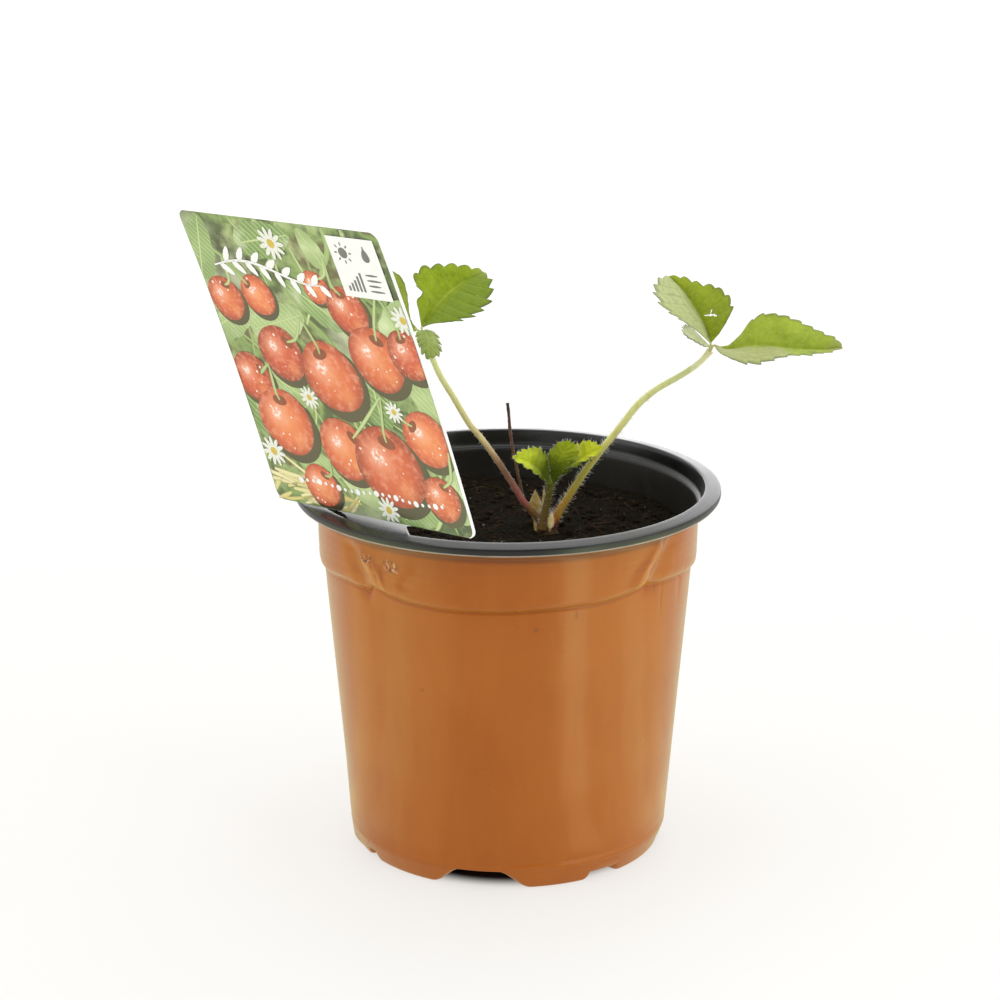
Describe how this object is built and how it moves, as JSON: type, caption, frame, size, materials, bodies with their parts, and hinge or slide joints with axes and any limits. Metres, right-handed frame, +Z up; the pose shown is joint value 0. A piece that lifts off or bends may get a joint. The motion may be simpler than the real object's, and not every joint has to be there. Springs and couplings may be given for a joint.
{
  "type": "potted strawberry plant",
  "caption": "Young strawberry plant with toothed three-part leaves in a thin round nursery pot of peat, with a staked plant label.",
  "frame": {"origin": "on the surface the pot stands on, under the middle of the bounding box", "axes": "+Z up along the pot's axis; +X to the side of the reaching leaf; the label leans out towards -X and -Y"},
  "size_m": [0.1956, 0.1552, 0.211],
  "materials": {
    "pot_plastic": "terracotta coloured thermoformed sheet, satin gloss outside, black inside",
    "peat": "damp dark peat with fibres, matt; stands in for soil",
    "crown_wood": "rough brown rootstock",
    "label_plastic": "printed card face, plain white back and stake",
    "petiole_green": "hairy stem, reddish at the base; stands in for plant tissue",
    "dead_stalk": "dry brown stalk",
    "leaf_green": "semi-gloss toothed leaf, paler below; stands in for plant tissue",
    "leaf_young": "young folded leaf with silky hairs; stands in for plant tissue",
    "stipule_scale": "papery tan scale"
  },
  "bodies": {
    "root": {"pot": "pot_plastic", "potting_soil": "peat", "crown_and_roots": "crown_wood", "plant_label": "label_plastic", "petiole_left": "petiole_green", "petiole_right": "petiole_green", "petiole_young": "petiole_green", "old_stalk": "dead_stalk", "leaflet_left_1": "leaf_green", "leaflet_left_2": "leaf_green", "leaflet_left_3": "leaf_green", "leaflet_right_1": "leaf_green", "leaflet_right_2": "leaf_green", "leaflet_right_3": "leaf_green", "leaflet_young_1": "leaf_young", "leaflet_young_2": "leaf_young", "leaflet_young_3": "leaf_young", "stipule_1": "stipule_scale", "stipule_2": "stipule_scale", "stipule_3": "stipule_scale"}
  },
  "joints": []
}
